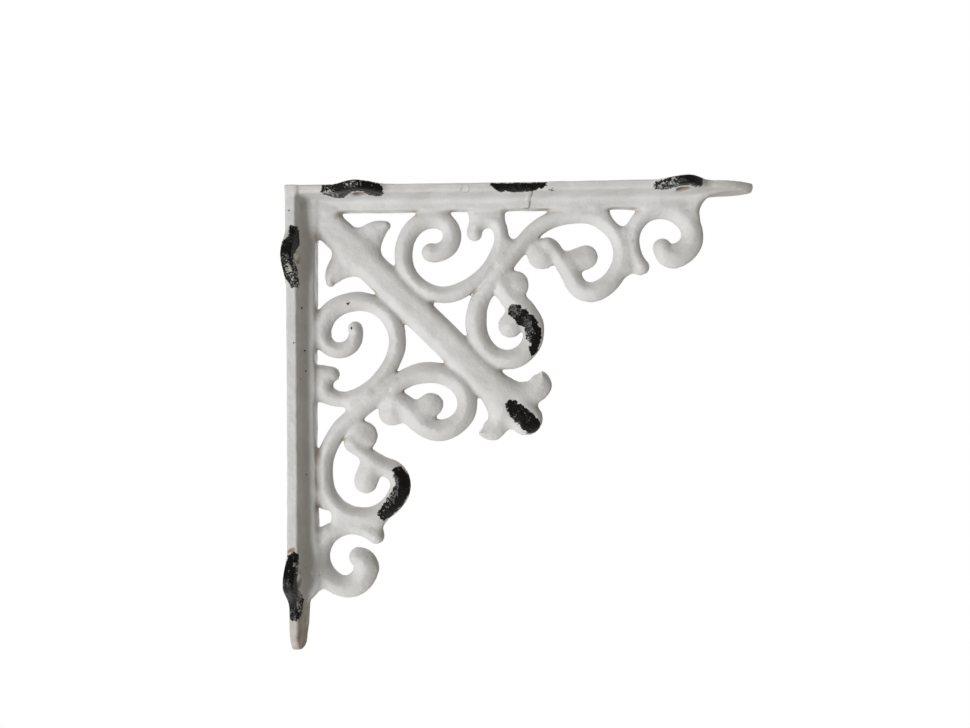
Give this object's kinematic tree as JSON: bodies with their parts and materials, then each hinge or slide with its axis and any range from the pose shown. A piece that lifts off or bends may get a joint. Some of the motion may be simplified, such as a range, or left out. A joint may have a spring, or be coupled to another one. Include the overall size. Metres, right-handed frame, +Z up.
{
  "type": "shelf bracket",
  "caption": "Right-angled cast iron shelf bracket in chipped off-white paint, with scrollwork and a diagonal bar between flat straps that have screw ears.",
  "frame": {"origin": "on the wall face, halfway down the wall strap and in the middle of its width", "axes": "+X out from the wall along the shelf strap, +Z up to the shelf, Y across the straps' width"},
  "size_m": [0.23, 0.04, 0.23],
  "materials": {
    "paint": "satin off-white paint over cast iron, worn to the black iron at the ears and on three scroll ends"
  },
  "bodies": {
    "root": {"bracket": "paint"}
  },
  "joints": []
}
